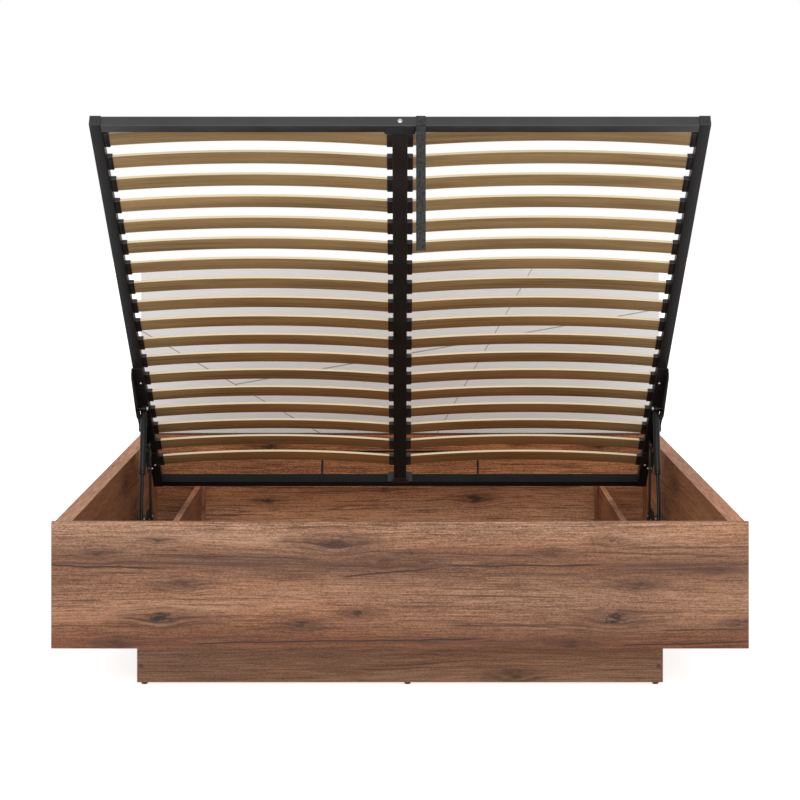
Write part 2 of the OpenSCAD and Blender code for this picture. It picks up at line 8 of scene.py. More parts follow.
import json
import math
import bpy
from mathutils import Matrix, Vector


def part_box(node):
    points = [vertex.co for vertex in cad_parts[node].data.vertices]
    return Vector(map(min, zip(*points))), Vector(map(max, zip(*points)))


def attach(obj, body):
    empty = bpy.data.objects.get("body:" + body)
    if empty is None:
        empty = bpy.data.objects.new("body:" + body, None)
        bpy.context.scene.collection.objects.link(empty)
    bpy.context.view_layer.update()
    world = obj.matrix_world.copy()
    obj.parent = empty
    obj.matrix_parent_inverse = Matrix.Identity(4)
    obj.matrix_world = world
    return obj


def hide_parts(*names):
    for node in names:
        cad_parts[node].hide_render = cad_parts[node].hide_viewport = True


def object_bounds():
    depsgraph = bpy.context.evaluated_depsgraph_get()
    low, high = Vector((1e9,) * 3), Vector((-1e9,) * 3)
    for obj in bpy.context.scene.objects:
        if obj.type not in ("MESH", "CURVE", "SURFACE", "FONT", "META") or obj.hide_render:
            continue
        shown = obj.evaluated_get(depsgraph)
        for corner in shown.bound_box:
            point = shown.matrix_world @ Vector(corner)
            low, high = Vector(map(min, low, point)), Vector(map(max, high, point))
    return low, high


bl_info = {
    "name": "Platform Bed Dresser",
    "version": (1, 0, 0),
    "blender": (4, 5, 0),
    "location": "3D View > Sidebar > Bed",
    "description": "Finishes the boards, slatted base and lift of a storage platform bed",
    "category": "Object",
}

import bmesh
import bpy
import numpy as np

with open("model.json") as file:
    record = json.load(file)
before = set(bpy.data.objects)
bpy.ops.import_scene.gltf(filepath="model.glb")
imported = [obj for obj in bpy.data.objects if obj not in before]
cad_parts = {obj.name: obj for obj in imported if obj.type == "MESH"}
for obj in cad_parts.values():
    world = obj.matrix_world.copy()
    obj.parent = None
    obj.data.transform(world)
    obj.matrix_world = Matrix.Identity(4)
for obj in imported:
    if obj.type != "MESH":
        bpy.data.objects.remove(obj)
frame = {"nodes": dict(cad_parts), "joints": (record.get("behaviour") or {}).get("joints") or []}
CAD_BOX = [list(corner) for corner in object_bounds()]
JOINTS = {joint["name"]: joint for joint in frame["joints"]}
SIDES = ("left", "right")


# ---- places read from the frame


def node_points(node):
    """A CAD node's corner points as an array of rows (x, y, z)."""
    mesh = frame["nodes"][node].data
    flat = np.empty(len(mesh.vertices) * 3)
    mesh.vertices.foreach_get("co", flat)
    return flat.reshape(-1, 3)


def base_axes():
    """The slatted base's lowest head corner and its slope, from one side tube: its lowest point
    is the head end of the underside and its foremost point the foot end of it."""
    tube = node_points("side_tube_left")
    head, foot = tube[tube[:, 2].argmin()], tube[tube[:, 1].argmin()]
    along = (foot - head)[1:] / np.linalg.norm((foot - head)[1:])
    return head[1:], along, np.array([along[1], -along[0]])


HEAD, ALONG, ABOVE = base_axes()


def on_base(x, s, w):
    """Lays flat base coordinates on the slope: y and z are the head corner plus s times the unit
    vector along the base plus w times the unit vector away from its underside."""
    x, s, w = np.broadcast_arrays(x, s, w)
    y = HEAD[0] + s * ALONG[0] + w * ABOVE[0]
    z = HEAD[1] + s * ALONG[1] + w * ABOVE[1]
    return np.stack([x, y, z], -1)


def laid(flat, faces, place=None):
    """A surface worked out flat, laid on the base's slope. Its straight place is its flat points,
    unless another is given."""
    return on_base(*flat.T), faces, flat if place is None else place


def flat_on_base(node):
    """A CAD node's points as (x, s, w), the reverse of on_base."""
    points = node_points(node)
    away = points[:, 1:] - HEAD
    return np.column_stack([points[:, 0], away @ ALONG, away @ ABOVE])


def flat_box(node):
    """Lowest and highest (x, s, w) of a node on the base."""
    points = flat_on_base(node)
    return points.min(0), points.max(0)


def slat_rows(node):
    """Head-side and foot-side edge (s) of every slat. A slat's points all lie on these two edges,
    so the sorted points split into one small cluster per edge, and neighbours pair up."""
    along = np.sort(flat_on_base(node)[:, 1])
    return along[np.r_[0, np.flatnonzero(np.diff(along) > 0.02) + 1]].reshape(-1, 2)


# ---- surfaces worked out in arrays


def round_outline(width, height, radius, corner_points=5):
    """Outline of a rectangle with round corners about (0, 0), as rows (across, up) that go round it
    once: each corner is a quarter circle about a point as far in from both sides as its radius."""
    quarter = np.linspace(0, np.pi / 2, corner_points)
    rows = []
    for turn, (sx, sy) in enumerate([(1, 1), (-1, 1), (-1, -1), (1, -1)]):
        angle = quarter + turn * np.pi / 2
        across = sx * (width / 2 - radius) + radius * np.cos(angle)
        rows.append(np.column_stack([across, sy * (height / 2 - radius) + radius * np.sin(angle)]))
    return np.vstack(rows)


def skin(rings, looped=False):
    """Faces over a stack of rings, an array (ring, point, 3): neighbours in a ring and in the next
    one make a four-sided face; the two end rings are filled, unless the stack is looped."""
    rows, cols = rings.shape[:2]
    first = np.arange(rows if looped else rows - 1)[:, None] * cols
    here, across = first + np.arange(cols), first + (np.arange(cols) + 1) % cols
    total = rows * cols
    quads = np.stack([here, across, (across + cols) % total, (here + cols) % total], -1)
    faces = quads.reshape(-1, 4).tolist()
    if not looped:
        faces += [list(range(cols))[::-1], list(range(total - cols, total))]
    return rings.reshape(-1, 3), faces


def carried(path, side, up, outline, looped=False):
    """A profile carried along a path: every point is path + across * side + height * up, where
    side and up are unit vectors at each step. Also returns its straight place (run, across, up)."""
    across, height = outline[None, :, :1], outline[None, :, 1:]
    rings = path[:, None] + across * side[:, None] + height * up[:, None]
    run = np.r_[0, np.cumsum(np.linalg.norm(np.diff(path, axis=0), axis=1))]
    place = np.stack(np.broadcast_arrays(run[:, None], outline[:, 0], outline[:, 1]), -1)
    points, faces = skin(rings, looped=looped)
    return points, faces, place.reshape(-1, 3)


def turned(start, axis, profile):
    """A surface turned on a lathe: profile rows are (distance along the axis, radius), and each
    goes round a circle in the plane square to the axis."""
    start, axis = np.asarray(start, float), np.asarray(axis, float)
    axis = axis / np.linalg.norm(axis)
    side = np.cross(axis, [0, 0, 1] if abs(axis[2]) < 0.9 else [1, 0, 0])
    side = side / np.linalg.norm(side)
    up = np.cross(axis, side)
    angle = np.linspace(0, 2 * np.pi, 40, endpoint=False)
    circle = np.cos(angle)[:, None] * side + np.sin(angle)[:, None] * up
    profile = np.asarray(profile, float)
    rings = start + profile[:, None, :1] * axis + profile[:, None, 1:] * circle[None]
    points, faces = skin(rings)
    along, out = profile[:, :1], profile[:, 1:]
    place = np.stack(np.broadcast_arrays(along, np.cos(angle) * out, np.sin(angle) * out), -1)
    return points, faces, place.reshape(-1, 3)


def bar_between(low, high, axis, radius, bevel=0.0004):
    """A square bar with round long edges between two corners (x, s, w), laid on the base's slope:
    its outline is carried along one axis and slightly drawn in at both ends."""
    low, high = np.asarray(low, float), np.asarray(high, float)
    a, b = [k for k in range(3) if k != axis]
    size = high - low
    outline = round_outline(size[a], size[b], radius)
    shrink = 1 - 2 * bevel / np.array([size[a], size[b]])
    centre = [(low[a] + high[a]) / 2, (low[b] + high[b]) / 2]
    start, end = low[axis], high[axis]
    stops = [(start, shrink), (start + bevel, 1), (end - bevel, 1), (end, shrink)]
    rings = np.empty((4, len(outline), 3))
    for row, (stop, scale) in enumerate(stops):
        rings[row, :, axis] = stop
        rings[row, :, [a, b]] = (outline * scale + centre).T
    flat, faces = skin(rings)
    return laid(flat, faces)


def joined(parts):
    """Several (points, faces, place) as one."""
    points, faces, places, count = [], [], [], 0
    for part_points, part_faces, part_place in parts:
        points.append(part_points)
        places.append(part_place)
        faces += [[index + count for index in face] for face in part_faces]
        count += len(part_points)
    return np.vstack(points), faces, np.vstack(places)


def piece(name, node, parts, finish, body="lift_frame", angle=35.0):
    """Makes one object of the parts in place of a CAD node, smooth up to an angle and riding on a
    CAD body, with its straight place stored as the point attribute "place"."""
    points, faces, place = joined(parts)
    mesh = bpy.data.meshes.new(name)
    mesh.from_pydata(points.tolist(), [], faces)
    stored = mesh.attributes.new("place", "FLOAT_VECTOR", "POINT")
    stored.data.foreach_set("vector", place.astype(np.float32).ravel())
    shape = bmesh.new()
    shape.from_mesh(mesh)
    bmesh.ops.recalc_face_normals(shape, faces=shape.faces)
    shape.to_mesh(mesh)
    shape.free()
    mesh.shade_smooth()
    mesh.set_sharp_from_angle(angle=math.radians(angle))
    mesh.materials.append(finish)
    thing = bpy.data.objects.new(name, mesh)
    bpy.context.scene.collection.objects.link(thing)
    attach(thing, body)
    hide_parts(node)


def dress(finish, *nodes):
    """Gives CAD nodes a finish."""
    for node in nodes:
        mesh = frame["nodes"][node].data
        mesh.materials.clear()
        mesh.materials.append(finish)


# ---- finishes


def tone(red, green, blue):
    """A display colour of 0 to 255 as the linear colour that a shader takes."""
    part = np.array([red, green, blue]) / 255
    linear = np.where(part <= 0.04045, part / 12.92, ((part + 0.055) / 1.055) ** 2.4)
    return (*linear.tolist(), 1.0)


def scaled(colour, share):
    """A colour with its red, green and blue multiplied, by one number or by one for each."""
    return (*(np.asarray(colour[:3]) * share).tolist(), 1.0)


class Finish:
    """Builds the nodes of one material, or of the world: each method adds nodes and returns what
    they give out."""

    def __init__(self, name, owner=None):
        self.owner = owner or bpy.data.materials.new(name)
        self.owner.use_nodes = True
        self.tree = self.owner.node_tree
        self.tree.nodes.clear()

    def node(self, kind, values=(), **settings):
        made = self.tree.nodes.new(f"ShaderNode{kind}")
        for key, value in settings.items():
            setattr(made, key, value)
        for key, value in dict(values).items():
            if isinstance(value, bpy.types.NodeSocket):
                self.tree.links.new(value, made.inputs[key])
            else:
                made.inputs[key].default_value = value
        return made

    def place(self, attribute=None):
        """Object coordinates, or a stored place that follows a bent or sloping piece."""
        if attribute:
            return self.node("Attribute", attribute_name=attribute).outputs["Vector"]
        return self.node("TexCoord").outputs["Object"]

    def apart(self, vector):
        return self.node("SeparateXYZ", {0: vector}).outputs

    def vector(self, x, y, z):
        return self.node("CombineXYZ", {0: x, 1: y, 2: z}).outputs[0]

    def plus(self, vector, shift):
        return self.node("VectorMath", {0: vector, 1: shift}).outputs[0]

    def times(self, vector, scale):
        values = {0: vector, 1: scale}
        return self.node("VectorMath", values, operation="MULTIPLY").outputs[0]

    def math(self, operation, a, b=0.0, c=0.0):
        return self.node("Math", {0: a, 1: b, 2: c}, operation=operation).outputs[0]

    def product(self, a, b):
        return self.math("MULTIPLY", a, b)

    def minus(self, a, b):
        return self.math("SUBTRACT", a, b)

    def fused(self, a, b, c):
        """a * b + c"""
        return self.math("MULTIPLY_ADD", a, b, c)

    def bell(self, off, fall):
        """exp(-fall * off * off): 1 where off is 0, fading out on both sides."""
        return self.math("EXPONENT", self.product(self.product(off, off), -fall))

    def noise(self, vector, scale=1.0, detail=3.0, rough=0.55, bend=0.0):
        values = {"Vector": vector, "Scale": scale, "Detail": detail, "Roughness": rough}
        return self.node("TexNoise", {**values, "Distortion": bend}).outputs["Fac"]

    def grain(self, vector, along, across, **settings):
        """Noise with so many cells to the metre along the vector's first part and across it."""
        return self.noise(self.times(vector, (along, across, across)), **settings)

    def swing(self, noise, amount, base):
        """base plus amount times how far the noise is from its middle, 0.5."""
        return self.fused(self.minus(noise, 0.5), amount, base)

    def band(self, value, low, high, to_low=0.0, to_high=1.0, smooth=True):
        """value from low..high to to_low..to_high, clamped, with soft ends if smooth."""
        values = {0: value, 1: low, 2: high, 3: to_low, 4: to_high}
        kind = "SMOOTHSTEP" if smooth else "LINEAR"
        return self.node("MapRange", values, interpolation_type=kind).outputs[0]

    def ramp(self, value, stops):
        made = self.node("ValToRGB", {0: value})
        elements = made.color_ramp.elements
        while len(elements) < len(stops):
            elements.new(0.5)
        for element, (position, colour) in zip(elements, stops):
            element.position, element.color = position, colour
        return made.outputs[0]

    def mix(self, share, under, over, blend="MIX"):
        made = self.node("Mix", {0: share, 6: under, 7: over}, data_type="RGBA", blend_type=blend)
        return made.outputs[2]

    def bump(self, height, strength, distance):
        values = {"Height": height, "Strength": strength, "Distance": distance}
        return self.node("Bump", values).outputs[0]

    def seen(self):
        """1 for what the camera sees, directly, mirrored or through glass, and 0 for the light
        that other things get from it."""
        path = self.node("LightPath").outputs
        direct = self.math("MAXIMUM", path["Is Camera Ray"], path["Is Glossy Ray"])
        return self.math("MAXIMUM", direct, path["Is Transmission Ray"])

    def surface(self, **values):
        """The shader, whose sockets are named with _ for each space, and the finished material."""
        sockets = {key.replace("_", " "): value for key, value in values.items()}
        shader = self.node("BsdfPrincipled", sockets)
        self.node("OutputMaterial", {0: shader.outputs[0]})
        return self.owner


WHITE = (1.0, 1.0, 1.0, 1.0)
STREAK, THREAD, PORE = tone(98, 67, 55), tone(90, 57, 41), tone(76, 46, 32)
CRACK, KNOT_RING, KNOT_HEART = tone(58, 38, 31), tone(82, 53, 41), tone(40, 31, 25)
STREAK_FADE, CRACK_START, CRACK_END = 0.12, 0.03, 0.06
# depth of the painted light and shade on a board's top
PAINTED_TOP_DEPTH = 0.0005


def board_finish(
    name, along, across, seed, colours, knots=(), cracks=(), streaks=(), painted_light_by_height=(),
    shade=(1.0, 1.0, 1.0), top_edge=None, bold=1.0,
):
    """Knotty oak laminate. A growth coordinate, the height across the board plus slow waves, is
    drawn together at every knot, so that the grain bends round it. Noise that is long along the
    board and narrow across this coordinate makes bands, fibres and pores. knots are (along, across,
    half height, darkness of the heart and of the wood round it), cracks (start, end, height at
    each, darkness), streaks (start, end, height, half height, darkness), painted_light_by_height
    (height, colour that multiplies the wood's there), which paints light and shade by height, and
    top_edge (height, colour that multiplies the top face's there), which paints
    light on some boards' tops and shade on others'. shade multiplies every colour of
    the wood, painted light and shade on the whole board, and bold the contrast of its grain."""
    f = Finish(name)
    parts = f.apart(f.place())
    run_axis, rise_axis = "XYZ".index(along), "XYZ".index(across)
    run, rise, depth = parts[run_axis], parts[rise_axis], parts[3 - run_axis - rise_axis]
    shifted = f.plus(f.vector(run, rise, depth), (seed, seed * 0.7, seed))
    waves = f.grain(shifted, 0.9, 4.0, detail=2)
    ripple = f.grain(shifted, 38.0, 90.0, detail=4, rough=0.65)
    growth = level = f.swing(ripple, 0.003, f.swing(waves, 0.05, rise))
    dark = halo = 0.0
    for knot_run, knot_rise, half, heart, soft in knots:
        off_run = f.product(f.minus(run, knot_run), 0.5 / half)
        over = f.minus(rise, knot_rise)
        off_rise = f.product(over, 1 / half)
        rise_squared = f.product(off_rise, off_rise)
        far = f.math("SQRT", f.fused(off_run, off_run, rise_squared))
        drawn = f.fused(over, -0.7, half * 0.3)
        growth = f.fused(f.bell(far, 0.4), drawn, growth)
        uneven = f.fused(ripple, 3.4, f.minus(far, 1.7))
        dark = f.math("MAXIMUM", dark, f.band(uneven, 0.85, 0.1, 0.0, heart))
        flat_run = f.product(off_run, 0.22)
        long = f.math("SQRT", f.fused(off_run, flat_run, rise_squared))
        ragged = f.fused(ripple, 2.0, f.minus(long, 1.0))
        halo = f.math("MAXIMUM", halo, f.band(ragged, 2.3, 0.2, 0.0, soft))
    grown = f.plus(f.vector(run, growth, depth), (seed * 3.1, seed, seed))
    bands = f.grain(grown, 0.8, 9.0, detail=4, rough=0.5)
    fibres = f.grain(grown, 9.0, 290.0, rough=0.66)
    threads = f.grain(grown, 2.4, 130.0, detail=4, rough=0.72)
    pores = f.grain(grown, 42.0, 400.0, rough=0.7)
    slant_run = f.fused(rise, 1.3, run)
    slant = f.vector(slant_run, f.fused(run, -0.3, rise), depth)
    rays = f.grain(slant, 170.0, 300.0, rough=0.7)
    tint = f.grain(grown, 1.1, 9.0, rough=0.6)
    value = f.swing(bands, 0.6 * bold, 0.5)
    value = f.swing(fibres, 0.7 * bold, value)
    value = f.swing(rays, 0.7 * bold, value)
    light, middle, deep = colours

    # painted light and shade: every colour of the wood is multiplied by the board's gain
    def shaded(colour, share=1.0):
        return (*(min(1.0, part * share * gain) for part, gain in zip(colour[:3], shade)), 1.0)

    stops = [(0.28, shaded(deep, 0.75)), (0.4, shaded(middle, 0.7)), (0.49, shaded(middle))]
    stops += [(0.58, shaded(light)), (0.72, shaded(light, 1.18))]
    redder, bluer = (1.0, 0.86, 0.74, 1.0), (0.90, 0.93, 1.0, 1.0)
    colour = f.ramp(value, stops)
    colour = f.mix(f.band(tint, 0.42, 0.64, 0.0, 0.6), colour, redder, "MULTIPLY")
    colour = f.mix(f.band(tint, 0.48, 0.34, 0.0, 0.3), colour, bluer, "MULTIPLY")
    # painted light and shade: the wood is made lighter or darker by height
    if painted_light_by_height:
        low, high = painted_light_by_height[0][0], painted_light_by_height[-1][0]
        gains = [((height - low) / (high - low), (*gain, 1.0)) for height, gain in painted_light_by_height]
        gain_here = f.ramp(f.band(growth, low, high, smooth=False), gains)
        colour = f.mix(1.0, colour, gain_here, "MULTIPLY")
    for start, end, height, half, share in streaks:
        near = f.bell(f.math("DIVIDE", f.minus(level, height), half), 1.0)
        begun = f.band(run, start - STREAK_FADE, start + STREAK_FADE)
        inside = f.product(begun, f.band(run, end + STREAK_FADE, end - STREAK_FADE))
        lines = f.product(f.band(threads, 0.40, 0.60, 0.3, 1.0), share)
        streaked = f.product(f.product(near, inside), lines)
        colour = f.mix(streaked, colour, shaded(STREAK))
    colour = f.mix(f.band(threads, 0.57, 0.62, 0.0, 0.75 * bold), colour, shaded(THREAD))
    colour = f.mix(f.band(pores, 0.57, 0.66, 0.0, 0.6 * bold), colour, shaded(PORE))
    split = f.math("ABSOLUTE", f.minus(f.grain(grown, 0.7, 14.0, rough=0.4), 0.5))
    where = f.band(f.grain(grown, 1.5, 8.0, detail=1), 0.52, 0.6)
    line = f.product(f.band(split, 0.006, 0.0008), f.product(where, 0.55))
    if cracks:
        sway = f.minus(f.grain(shifted, 9.0, 3.0, detail=4, rough=0.6), 0.5)
        wandering = f.math("ADD", rise, f.product(sway, 0.012))
    for start, end, low, high, share in cracks:
        slope = (high - low) / (end - start)
        middle_line = f.fused(f.minus(run, start), slope, low)
        off = f.math("ABSOLUTE", f.minus(wandering, middle_line))
        begun = f.band(run, start, start + CRACK_START)
        inside = f.product(begun, f.band(run, end, end - CRACK_END))
        drawn = f.product(f.band(off, 0.003, 0.0009), f.product(inside, share))
        line = f.math("MAXIMUM", line, drawn)
    colour = f.mix(line, colour, shaded(CRACK))
    grained = f.band(threads, 0.40, 0.58, 0.55, 1.0)
    colour = f.mix(f.product(halo, grained), colour, shaded(KNOT_RING))
    colour = f.mix(dark, colour, shaded(KNOT_HEART))
    # painted light and shade on the board's top face
    if top_edge is not None:
        edge, gain = top_edge
        on_edge = f.math("GREATER_THAN", parts["Z"], edge - PAINTED_TOP_DEPTH)
        colour = f.mix(on_edge, colour, gain, "MULTIPLY")
    height = f.fused(pores, -0.7, f.fused(rays, 0.5, fibres))
    return f.surface(
        Base_Color=colour,
        Roughness=f.band(fibres, 0.25, 0.75, 0.7, 0.55, smooth=False),
        Specular_IOR_Level=0.35,
        Normal=f.bump(height, 0.22, 0.0008),
    )


def birch_finish(colour, edge):
    """Bent birch slat: fine long grain on the veneers, pale edges with thin ply lines. The stored
    place is (run along the slat, offset across it, height in its thickness)."""
    f = Finish("birch slat")
    spot = f.place("place")
    _, _, high = f.apart(spot)
    grain = f.grain(spot, 3.0, 120.0, detail=5, rough=0.6, bend=0.4)
    flow = f.noise(f.times(spot, (1.6, 9.0, 0.0)), detail=2)
    pores = f.grain(spot, 60.0, 900.0, detail=1)
    value = f.fused(grain, 0.55, f.product(flow, 0.45))
    stops = [(0.35, scaled(colour, 0.55)), (0.5, tuple(colour)), (0.66, scaled(colour, 1.3))]
    face = f.ramp(value, stops)
    flecks = f.noise(f.times(spot, (26.0, 260.0, 0.0)), detail=3, rough=0.7)
    face = f.mix(f.band(flecks, 0.56, 0.72, 0.0, 0.5), face, scaled(colour, 0.5))
    face = f.mix(f.band(pores, 0.62, 0.75, 0.0, 0.3), face, scaled(colour, 0.45))
    # painted shade and warm bounce light: the slats are darker and redder low down, most in the
    # middle of the bed and fading out towards the sides
    across, _, up = f.apart(f.place())
    painted_bounce_stops = [(0.0, (0.86, 0.68, 0.52, 1.0)), (0.3, (0.86, 0.70, 0.56, 1.0))]
    painted_bounce_stops += [(0.67, (0.91, 0.80, 0.70, 1.0)), (1.0, WHITE)]
    painted_bounce = f.ramp(f.band(up, 0.5, 1.12, smooth=False), painted_bounce_stops)
    face = f.mix(f.band(f.math("ABSOLUTE", across), 0.74, 0.5), face, painted_bounce, "MULTIPLY")
    ply = f.math("SINE", f.product(high, 2 * math.pi / 0.0027))
    rim = f.mix(f.band(ply, -0.2, 0.7, 0.0, 0.4), tuple(edge), scaled(edge, 0.72))
    on_edge = f.band(f.math("ABSOLUTE", high), 0.0030, 0.0036, 1.0, 0.0)
    return f.surface(
        Base_Color=f.mix(on_edge, face, rim),
        Roughness=f.band(grain, 0.3, 0.7, 0.46, 0.34, smooth=False),
        Normal=f.bump(grain, 0.15, 0.0003),
    )


def coated_steel(name, colour, rough, attribute=None, gloss=0.4):
    """Black powder coat: fine orange-peel bumps, a little cloudiness in colour and gloss, and
    faint rubbed specks."""
    f = Finish(name)
    spot = f.place(attribute)
    peel = f.noise(spot, 900.0, 2, 0.5)
    cloud = f.noise(spot, 9.0, 4, 0.6)
    specks = f.noise(spot, 420.0, 1, 0.5)
    paint = f.mix(f.band(cloud, 0.3, 0.7), scaled(colour, 0.8), scaled(colour, 1.25))
    paint = f.mix(f.band(specks, 0.72, 0.78, 0.0, 0.25), paint, tone(84, 83, 81))
    return f.surface(
        Base_Color=paint,
        Specular_IOR_Level=gloss,
        Roughness=f.band(cloud, 0.3, 0.7, rough - 0.06, rough + 0.08, smooth=False),
        Normal=f.bump(peel, 0.12, 0.0004),
    )


def moulded_plastic(name, colour, rough):
    """Moulded plastic: an even colour with a fine spark-eroded grain."""
    f = Finish(name)
    spot = f.place()
    grain = f.noise(spot, 1400.0, 2, 0.6)
    sheen = f.noise(spot, 30.0, 2)
    tint = f.mix(f.band(sheen, 0.3, 0.7), scaled(colour, 0.85), scaled(colour, 1.2))
    return f.surface(
        Base_Color=tint,
        Roughness=f.band(sheen, 0.3, 0.7, rough - 0.05, rough + 0.08, smooth=False),
        Normal=f.bump(grain, 0.25, 0.0003),
    )


def plated_steel(name, bright_places=None):
    """Zinc plate with a faint crystal mottling. With bright places, (y, z, how far out from the
    middle), the pins are near black away from them."""
    f = Finish(name)
    spot = f.place()
    mottle = f.noise(spot, 260.0, 3, 0.6)
    colour = f.ramp(mottle, [(0.3, tone(176, 178, 181)), (0.7, tone(222, 223, 224))])
    rough = f.band(mottle, 0.3, 0.7, 0.26, 0.4, smooth=False)
    if bright_places is not None:
        x, y, z = f.apart(spot)
        near = 0.0
        for at_y, at_z, out in bright_places:
            there = {0: f.vector(0.0, y, z), 1: (0.0, at_y, at_z)}
            away = f.node("VectorMath", there, operation="DISTANCE").outputs["Value"]
            inboard = f.math("LESS_THAN", f.math("ABSOLUTE", x), out)
            bright = f.product(inboard, f.math("LESS_THAN", away, 0.02))
            near = f.math("MAXIMUM", near, bright)
        colour = f.mix(near, tone(34, 33, 33), colour)
    return f.surface(
        Base_Color=colour, Metallic=0.9, Roughness=rough, Normal=f.bump(mottle, 0.08, 0.0002)
    )


def painted_panel(colour, groove_shade_colour):
    """The headboard: satin paint with a barely seen roller texture, and painted shade in its milled
    grooves.
    """
    f = Finish("painted panel")
    spot = f.place()
    _, y, _ = f.apart(spot)
    roller = f.noise(spot, 520.0, 3, 0.6)
    cloud = f.noise(spot, 2.2, 3)
    paint = f.mix(f.band(cloud, 0.3, 0.7), scaled(colour, 0.97), scaled(colour, 1.02))
    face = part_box("headboard")[0].y
    # painted shade inside the milled grooves
    in_groove = f.band(y, face + 0.0006, face + 0.0018)
    deep = f.product(in_groove, f.math("LESS_THAN", y, face + 0.004))
    return f.surface(
        Base_Color=f.mix(deep, paint, tuple(groove_shade_colour)),
        Roughness=f.band(roller, 0.3, 0.7, 0.5, 0.58, smooth=False),
        Normal=f.bump(roller, 0.1, 0.0004),
    )


def webbing(colour):
    """Woven strap: yarns run along the strap and cross under and over; the stored place is
    (run along the strap, offset across it, height in its thickness)."""
    f = Finish("webbing")
    run, wide, _ = f.apart(f.place("place"))
    warp = f.math("SINE", f.product(wide, 2 * math.pi / 0.0018))
    run_turns = f.product(run, 2 * math.pi / 0.0024)
    wide_turns = f.product(wide, 2 * math.pi / 0.0036)
    weft = f.math("SINE", f.math("ADD", run_turns, wide_turns))
    weave = f.fused(warp, 0.5, f.product(weft, 0.5))
    rib = f.math("GREATER_THAN", f.math("ABSOLUTE", wide), 0.0102)
    fuzz = f.noise(f.place(), 700.0, 2)
    worn = f.noise(f.place(), 130.0, 2, 0.6)
    height = f.fused(worn, 14.0, f.fused(fuzz, 0.5, weave))
    cloth = f.mix(f.band(height, 5.9, 8.7), scaled(colour, 0.2), scaled(colour, 1.9))
    return f.surface(
        Base_Color=f.mix(f.product(rib, 0.4), cloth, scaled(colour, 0.5)),
        Roughness=0.8,
        Sheen_Weight=0.25,
        Normal=f.bump(weave, 0.5, 0.0005),
    )


# ---- settings


def colour_setting(label, description, default):
    return bpy.props.FloatVectorProperty(
        name=label, description=description, default=default, subtype="COLOR", size=4, min=0, max=1
    )


def number_setting(label, description, default, low=0.0, **kind):
    return bpy.props.FloatProperty(
        name=label, description=description, default=default, min=low, **kind
    )


def length_setting(label, description, default):
    return number_setting(label, description, default, unit="LENGTH", subtype="DISTANCE")


class BedColours(bpy.types.PropertyGroup):
    """Colours of the bed's finishes."""

    board_light: colour_setting("Board light", "Lightest bands of the boards", tone(169, 128, 101))
    board_middle: colour_setting("Board middle", "Usual colour of the boards", tone(147, 106, 80))
    board_deep: colour_setting("Board deep", "Dark bands of the boards", tone(100, 64, 46))
    panel: colour_setting("Headboard", "Paint on the headboard", tone(255, 255, 254))
    # painted shade inside the headboard's grooves
    groove: colour_setting("Groove", "Inside of the headboard's grooves", tone(190, 187, 183))
    birch: colour_setting("Slat face", "Veneer of the slats", tone(183, 150, 104))
    birch_edge: colour_setting("Slat edge", "Long edges of the slats", tone(255, 233, 190))
    steel: colour_setting("Steel", "Powder coat on the base", tone(34, 34, 35))
    plastic: colour_setting("Plastic", "Holders, caps and glides", tone(26, 26, 27))
    cap: colour_setting("Screw cap", "Caps on the plinth's screws", tone(100, 62, 50))
    strap: colour_setting("Strap", "Webbing of the pull strap", tone(37, 37, 38))


class BedSizes(bpy.types.PropertyGroup):
    """Small sizes that the plain solids leave out."""

    tube_radius: length_setting("Tube corner", "Outer corner radius of the square tubes", 0.0018)
    slat_radius: length_setting("Slat corner", "Radius on the slats' long edges", 0.0016)
    slat_thickness: length_setting("Slat thickness", "Thickness of a slat", 0.008)
    holder_radius: length_setting("Holder corner", "Radius on the holders' corners", 0.0022)
    stop_bend: length_setting("Stop bend", "Bend radius of the mattress stop", 0.02)
    strap_thickness: length_setting("Strap thickness", "Thickness of the webbing", 0.0022)


class BedStage(bpy.types.PropertyGroup):
    """Camera and lamps."""

    camera_distance: length_setting("Camera distance", "From the foot board to the camera", 6.09)
    camera_height: length_setting("Camera height", "Camera over the floor", 1.367)
    lens: number_setting("Lens", "Focal length in millimetres on a 36 mm frame", 106.24, 10.0)
    shift: number_setting("Shift", "Lens shift that lets the camera look level", -0.28625, -10.0)
    sky: number_setting("Sky", "Strength of the even white surroundings", 0.55)
    lamp: number_setting("Lamp", "Power of the soft box before the bed", 790.0, unit="POWER")


# ---- marks on the boards


def marks(top, table):
    """A table of a board's marks as board_finish takes them: the table gives their depths below
    the board's top, and these are turned into heights."""
    columns = {"knots": (1,), "cracks": (2, 3), "streaks": (2,), "painted_light_by_height": (0,)}
    return {
        kind: [[top - v if k in columns[kind] else v for k, v in enumerate(row)] for row in rows]
        for kind, rows in table.items()
    }


